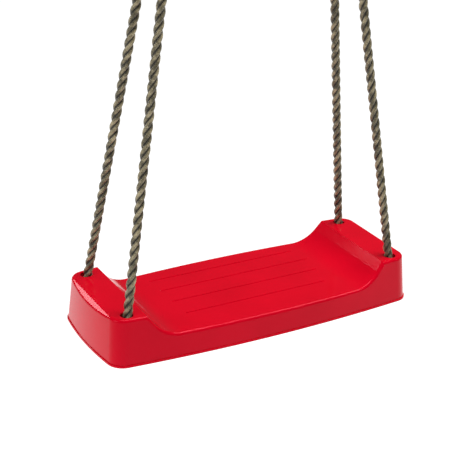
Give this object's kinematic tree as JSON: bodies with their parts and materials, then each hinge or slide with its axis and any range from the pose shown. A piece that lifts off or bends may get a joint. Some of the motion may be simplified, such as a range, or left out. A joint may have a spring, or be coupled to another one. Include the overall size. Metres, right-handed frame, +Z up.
{
  "type": "board swing",
  "caption": "Moulded board swing seat with raised end pads, hung by laid rope legs that turn over grooved saddles in beam hangers.",
  "frame": {"origin": "centre of the four hanger bolt holes, on the hangers' top faces where they meet the underside of the beam", "axes": "+X along the beam and the seat's length, -Y the front, +Z up"},
  "size_m": [0.4402, 0.1778, 0.51],
  "materials": {
    "seat": "glossy moulded red",
    "rope": "laid hemp-coloured polypropylene",
    "saddle": "black nylon, fine grain",
    "bracket": "galvanised",
    "pin": "bright zinc"
  },
  "bodies": {
    "hangers": {"bracket_left": "bracket", "bracket_right": "bracket", "hinge_pins": "pin", "pin_washers": "pin", "split_pins": "pin"},
    "swing": {"seat": "seat", "rope_left": "rope", "rope_right": "rope", "knot_front_left": "rope", "knot_rear_left": "rope", "knot_front_right": "rope", "knot_rear_right": "rope", "saddle_left": "saddle", "saddle_right": "saddle"}
  },
  "joints": [
    {"name": "swing_hinge", "type": "hinge", "parent": "hangers", "child": "swing", "pos_m": [0, 0, -0.042], "axis": [1, 0, 0], "range_deg": [-60, 60]}
  ]
}
